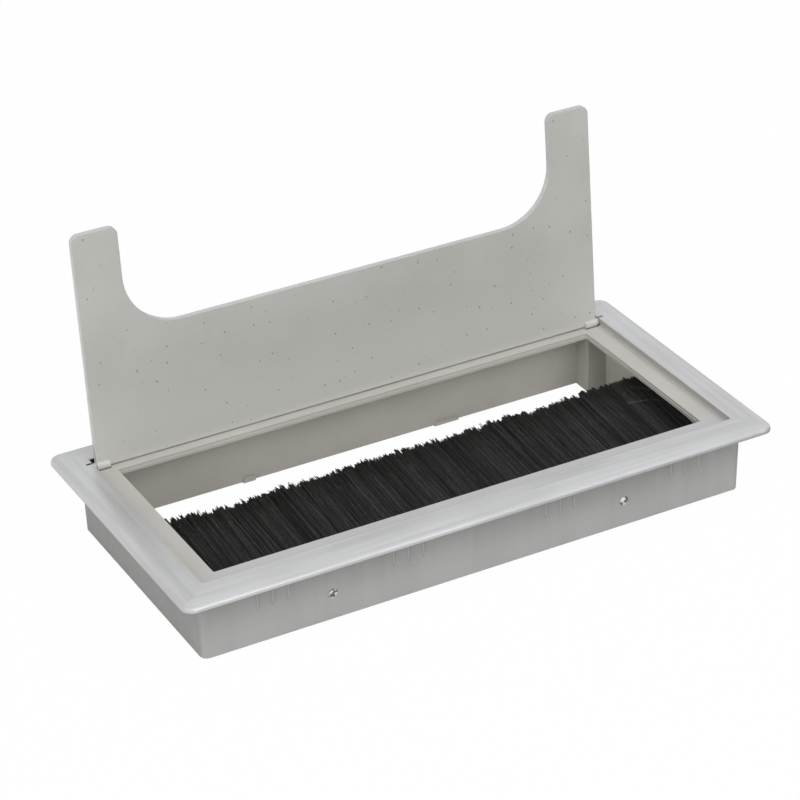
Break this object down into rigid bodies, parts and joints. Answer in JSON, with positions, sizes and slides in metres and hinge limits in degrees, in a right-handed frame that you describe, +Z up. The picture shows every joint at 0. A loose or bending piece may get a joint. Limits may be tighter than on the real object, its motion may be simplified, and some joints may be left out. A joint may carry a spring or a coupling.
{
  "type": "brush cable grommet",
  "caption": "Rectangular desk cable grommet with a flanged cast frame, a hinged lid with a wide cable notch, and a strip brush across the opening.",
  "frame": {"origin": "centre of the skirt's foot, which is the bottom centre of the whole part", "axes": "+X along the grommet's length, +Y from the brush side to the hinge side, +Z up out of the desk"},
  "size_m": [0.16, 0.08, 0.079],
  "materials": {
    "painted_casting": "silver-grey satin paint over a die casting",
    "bristle": "black nylon filament",
    "channel_strip": "plain mill finish",
    "steel_wire": "zinc-plated wire",
    "rivet": "staked and painted over with the casting"
  },
  "bodies": {
    "frame": {"frame": "painted_casting", "brush_channel": "channel_strip", "brush_bristles": "bristle", "brush_core_wire": "steel_wire", "brush_rivet_left": "rivet", "brush_rivet_right": "rivet"},
    "lid": {"lid": "painted_casting", "hinge_pin_left": "steel_wire", "hinge_pin_right": "steel_wire"}
  },
  "joints": [
    {"name": "lid_hinge", "type": "hinge", "parent": "frame", "child": "lid", "pos_m": [0, 0.03, 0.0185], "axis": [1, 0, 0], "range_deg": [0, 94.3]}
  ]
}
